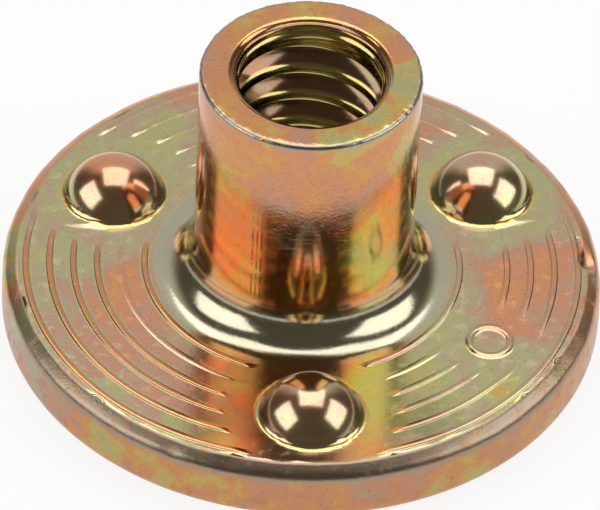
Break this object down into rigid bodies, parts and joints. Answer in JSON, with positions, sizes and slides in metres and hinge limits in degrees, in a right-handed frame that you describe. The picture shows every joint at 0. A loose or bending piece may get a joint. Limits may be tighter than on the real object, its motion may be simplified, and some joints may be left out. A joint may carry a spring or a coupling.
{
  "type": "tee nut",
  "caption": "Cold-formed steel tee nut: round flange with raised weld projections and concentric ribs, and a central barrel with a threaded through hole.",
  "frame": {"origin": "centre of the flange's underside, on the axis of the hole", "axes": "+Z along the hole, from the flange to the barrel's rim; one projection stands on -Y"},
  "size_m": [0.0218, 0.0218, 0.0115],
  "materials": {
    "yellow_zinc": "yellow iridescent chromate over zinc plate, smooth"
  },
  "bodies": {
    "root": {"tee_nut": "yellow_zinc"}
  },
  "joints": []
}
